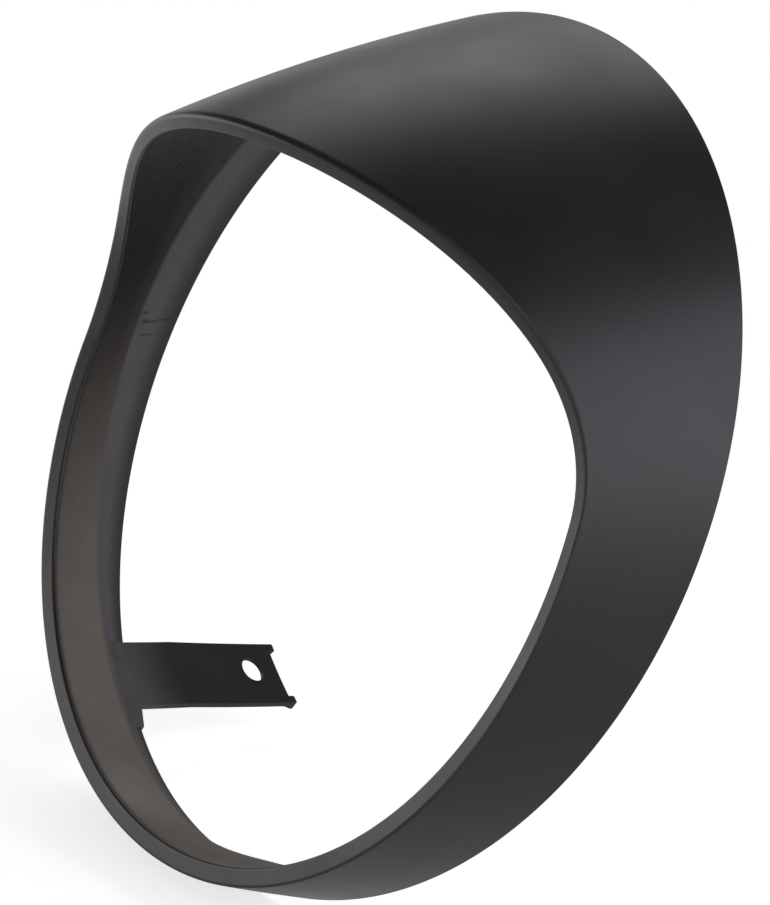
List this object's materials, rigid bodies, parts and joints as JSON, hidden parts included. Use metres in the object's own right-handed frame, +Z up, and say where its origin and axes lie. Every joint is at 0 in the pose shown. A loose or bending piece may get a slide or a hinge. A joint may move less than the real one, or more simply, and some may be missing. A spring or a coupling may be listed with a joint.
{
  "type": "headlight ring",
  "caption": "Satin black headlight ring: a tapered shell with a raked rear rim and an arched visor over the lamp opening, fixed by a thin ribbed tab with a screw bore.",
  "frame": {"origin": "where the lamp axis crosses the plane of the raked rear rim", "axes": "-Y along the lamp axis to the front, +X to the right seen from the front, +Z up"},
  "size_m": [0.1908, 0.0899, 0.1893],
  "materials": {
    "satin_black": "satin black paint outside, thin brown-grey overspray on the inner wall"
  },
  "bodies": {
    "root": {"headlight_ring": "satin_black"}
  },
  "joints": []
}
